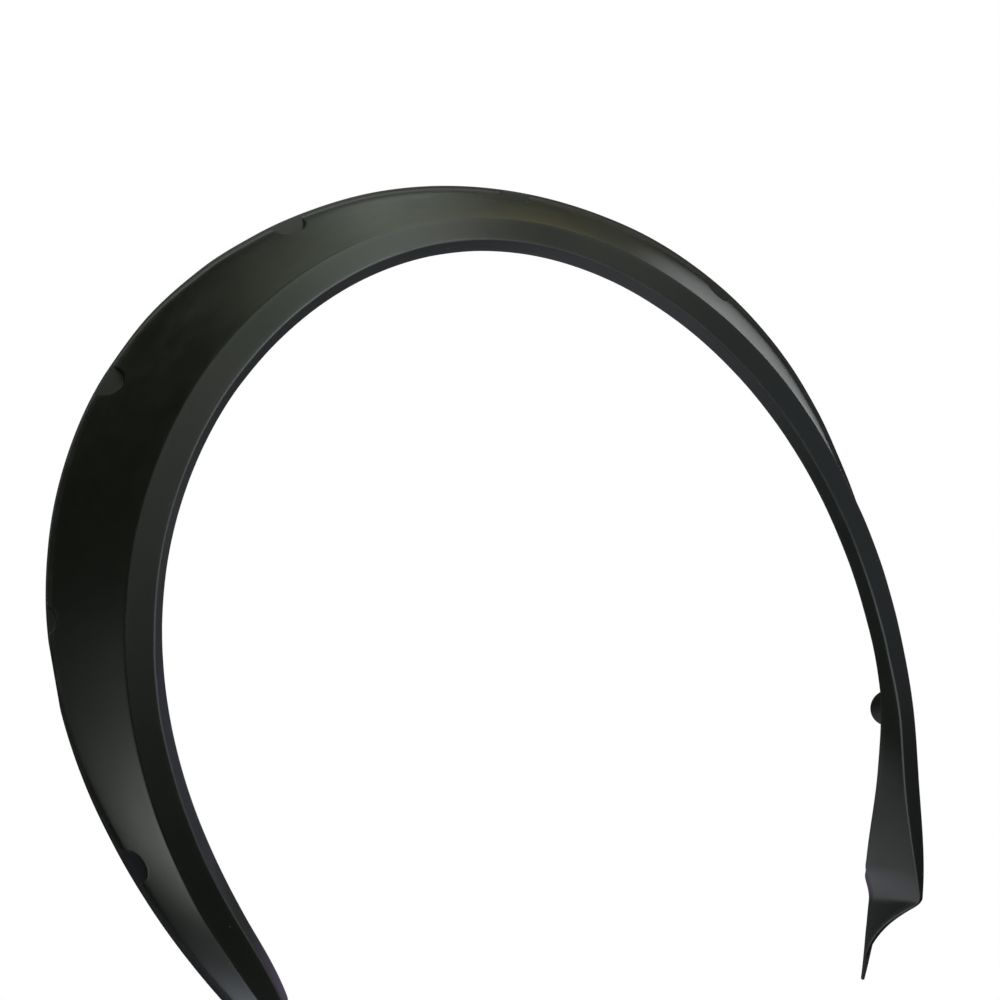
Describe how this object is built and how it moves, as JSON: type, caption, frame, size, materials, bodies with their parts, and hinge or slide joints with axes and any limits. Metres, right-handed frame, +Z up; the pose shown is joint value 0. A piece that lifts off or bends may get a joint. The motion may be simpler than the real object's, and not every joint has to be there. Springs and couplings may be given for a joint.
{
  "type": "wheel arch flare",
  "caption": "Flexible black plastic wheel arch flare: a long curved strip with a wide side face, a creased front face, a small inner lip, pointed ends and half-round screw flats.",
  "frame": {"origin": "on the back face of the flange at the top of the arch, midway between the strip's two ends", "axes": "+Y out of the flange's back, into the car body; +Z up; X along the car; the flare stands out to -Y"},
  "size_m": [0.529, 0.0982, 0.5536],
  "materials": {
    "black_plastic": "satin, fine moulded grain"
  },
  "bodies": {
    "root": {"flare": "black_plastic"}
  },
  "joints": []
}
